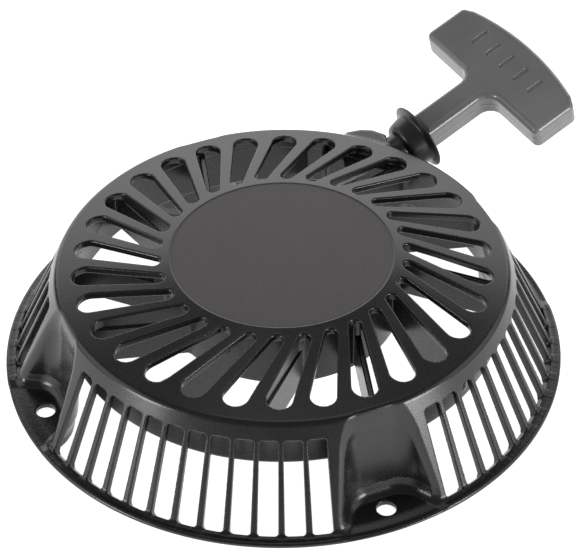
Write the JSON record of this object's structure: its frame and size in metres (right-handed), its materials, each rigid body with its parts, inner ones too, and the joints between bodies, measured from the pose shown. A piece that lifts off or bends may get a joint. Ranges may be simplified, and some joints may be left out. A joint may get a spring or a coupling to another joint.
{
  "type": "recoil starter",
  "caption": "Rewind pull starter for a small engine: round vented cast cover with a slotted skirt and four bolt lugs, rope reel with pawls inside, and a T-handle.",
  "frame": {"origin": "on the reel's axis, in the plane of the mounting flange", "axes": "+Z out of the cover's top along the reel's axis, away from the engine; +Y towards the rope outlet's hood; +X completes the right-handed set, with the bolt lugs on the diagonals"},
  "size_m": [0.24, 0.3031, 0.0675],
  "materials": {
    "casting": "satin black coat, fine grained",
    "eyelet": "gloss black",
    "grip": "satin black",
    "rope": "braided cord",
    "reel": "moulded black",
    "steel": "zinc plated",
    "spring_steel": "blued strip and wire",
    "pawl_steel": "sintered"
  },
  "bodies": {
    "cover": {"housing": "casting", "rope_eyelet": "eyelet", "rope_run": "rope", "recoil_spring": "spring_steel", "centre_screw": "steel", "screw_washer": "steel", "friction_spring": "spring_steel"},
    "handle": {"handle_grip": "grip", "grip_insert": "steel", "handle_knot": "rope", "rope_lead": "rope"},
    "reel": {"pulley": "reel", "rope_winding": "rope", "pulley_knot": "rope", "spring_keeper": "steel", "pawl_spring_a": "spring_steel", "pawl_spring_b": "spring_steel"},
    "cam_plate": {"friction_plate": "steel"},
    "left_pawl": {"pawl_a": "pawl_steel"},
    "right_pawl": {"pawl_b": "pawl_steel"}
  },
  "joints": [
    {"name": "handle_pull", "type": "slide", "parent": "cover", "child": "handle", "axis": [0.5313, 0.7931, 0.2977], "range_m": [0, 0.9], "stiffness_N_per_m": 12, "springref_m": -0.4},
    {"name": "reel_spin", "type": "hinge", "parent": "cover", "child": "reel", "pos_m": [0, 0, 0.0345], "axis": [0, 0, 1], "range_deg": [-1200, 5]},
    {"name": "cam_plate_lag", "type": "hinge", "parent": "reel", "child": "cam_plate", "pos_m": [0, 0, 0.0174], "axis": [0, 0, 1], "range_deg": [0, 25]},
    {"name": "pawl_a_swing", "type": "hinge", "parent": "reel", "child": "left_pawl", "pos_m": [0.024, 0, 0.0224], "axis": [0, 0, 1], "range_deg": [0, 35], "stiffness_Nm_per_rad": 0.01},
    {"name": "pawl_b_swing", "type": "hinge", "parent": "reel", "child": "right_pawl", "pos_m": [-0.024, 0, 0.0224], "axis": [0, 0, 1], "range_deg": [0, 35], "stiffness_Nm_per_rad": 0.01}
  ],
  "couplings": [
    {"joint": "reel_spin", "follows": "handle_pull", "rad_per_m": -22.883},
    {"joint": "pawl_a_swing", "follows": "cam_plate_lag", "ratio": 1.4},
    {"joint": "pawl_b_swing", "follows": "cam_plate_lag", "ratio": 1.4}
  ]
}
